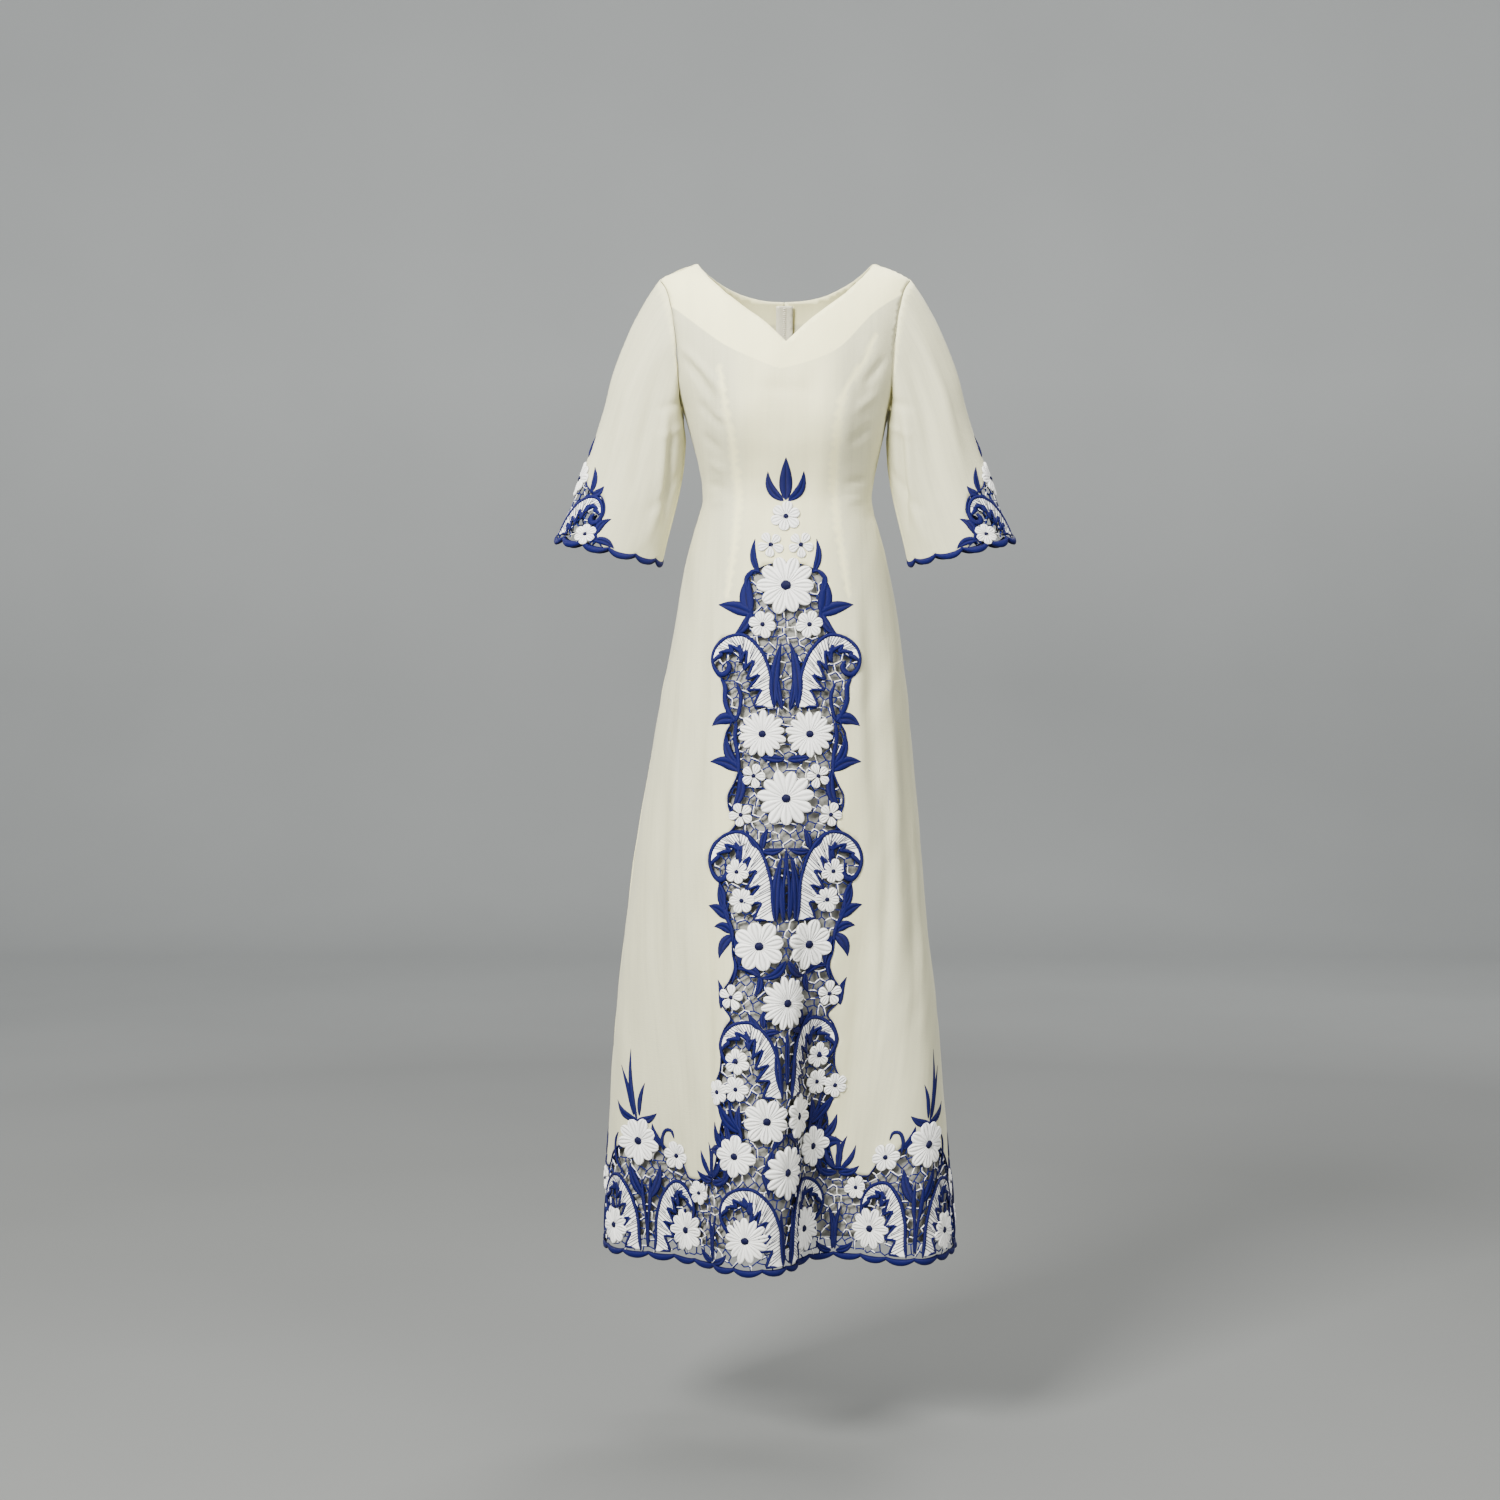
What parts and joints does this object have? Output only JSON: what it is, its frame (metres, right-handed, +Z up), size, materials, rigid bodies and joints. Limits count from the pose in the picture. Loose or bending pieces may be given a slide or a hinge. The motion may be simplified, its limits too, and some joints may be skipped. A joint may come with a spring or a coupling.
{
  "type": "maxi dress",
  "caption": "Floor-length ivory V-neck dress with elbow-length bell sleeves, lined, with cutwork flower embroidery down the front and round the hem.",
  "frame": {"origin": "middle between the two neck points at the tops of the shoulders, where the wearer holds the dress up", "axes": "+Z up along the dress from hem to shoulders, -Y out of the front, +X to the wearer's left"},
  "size_m": [0.6326, 0.3585, 1.3522],
  "materials": {
    "dress_cloth": "slubby ivory woven with a soft sheen, matte satin-stitch flowers in white and blue",
    "facing_cloth": "matte ivory woven",
    "lining_cloth": "plain matte lining, warm grey",
    "zip_tape": "matte woven tape"
  },
  "bodies": {
    "root": {"front": "dress_cloth", "back_right": "dress_cloth", "back_left": "dress_cloth", "sleeve_right_front": "dress_cloth", "sleeve_right_back": "dress_cloth", "sleeve_left_front": "dress_cloth", "sleeve_left_back": "dress_cloth", "neck_facing": "facing_cloth", "lining_front": "lining_cloth", "lining_back": "lining_cloth", "back_zip": "zip_tape"}
  },
  "joints": []
}
